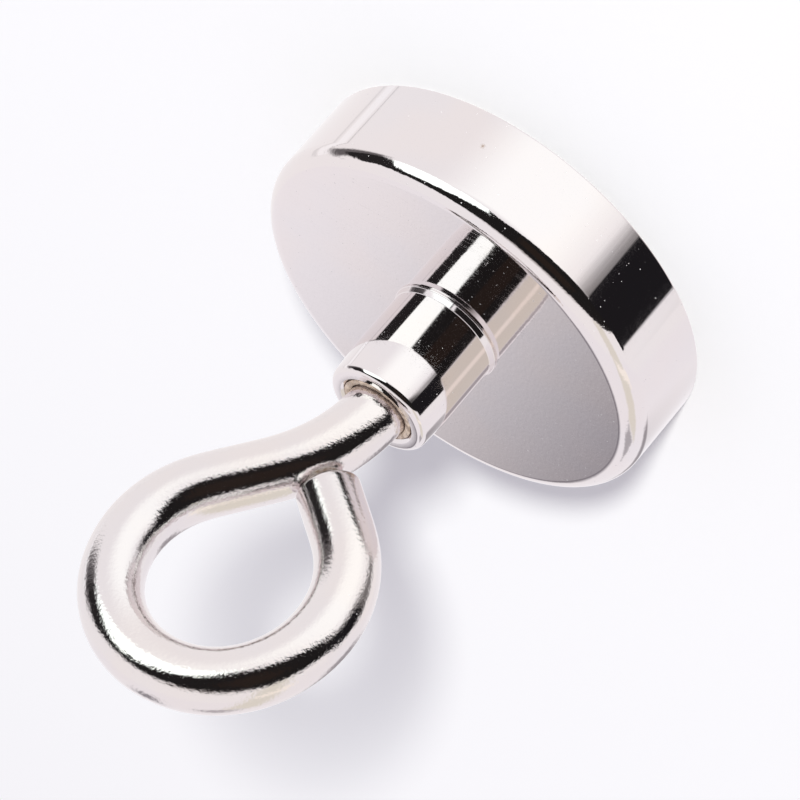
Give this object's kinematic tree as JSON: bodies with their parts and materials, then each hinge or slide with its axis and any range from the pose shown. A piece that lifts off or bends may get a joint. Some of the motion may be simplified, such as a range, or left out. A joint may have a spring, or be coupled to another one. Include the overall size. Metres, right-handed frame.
{
  "type": "magnet fishing magnet",
  "caption": "Round steel cup holding a potted ring magnet, with a threaded boss on its back and a bent wire eyebolt screwed into the boss.",
  "frame": {"origin": "centre of the working face, the open face of the cup that grips iron", "axes": "+Z along the cup's axis towards the eye, +X in the plane of the eye on the side that the neck bends to"},
  "size_m": [0.06, 0.06, 0.08],
  "materials": {
    "nickel_plated_steel": "bright nickel plate",
    "nickel_plated_magnet": "nickel plate, slightly dull",
    "adhesive": "cured epoxy film",
    "potting_resin": "black epoxy potting",
    "screw_steel": "zinc plated steel",
    "threadlocker": "cured brown threadlocker",
    "nickel_plated_wire": "satin nickel plate"
  },
  "bodies": {
    "magnet_pot": {"steel_cup": "nickel_plated_steel", "ring_magnet": "nickel_plated_magnet", "magnet_glue": "adhesive", "potting_ring": "potting_resin", "threaded_boss": "nickel_plated_steel", "fixing_screw": "screw_steel"},
    "threadlocker": {"threadlocker_ring": "threadlocker"},
    "eyebolt": {"eyebolt": "nickel_plated_wire"}
  },
  "joints": [
    {"name": "eyebolt_lift", "type": "slide", "parent": "magnet_pot", "child": "threadlocker", "axis": [0, 0, 1], "range_m": [0, 0.0064]},
    {"name": "eyebolt_turn", "type": "hinge", "parent": "threadlocker", "child": "eyebolt", "pos_m": [0, 0, 0.0296], "axis": [0, 0, 1], "range_deg": [0, 1530]}
  ],
  "couplings": [
    {"joint": "eyebolt_lift", "follows": "eyebolt_turn", "m_per_rad": 0.00023873}
  ]
}
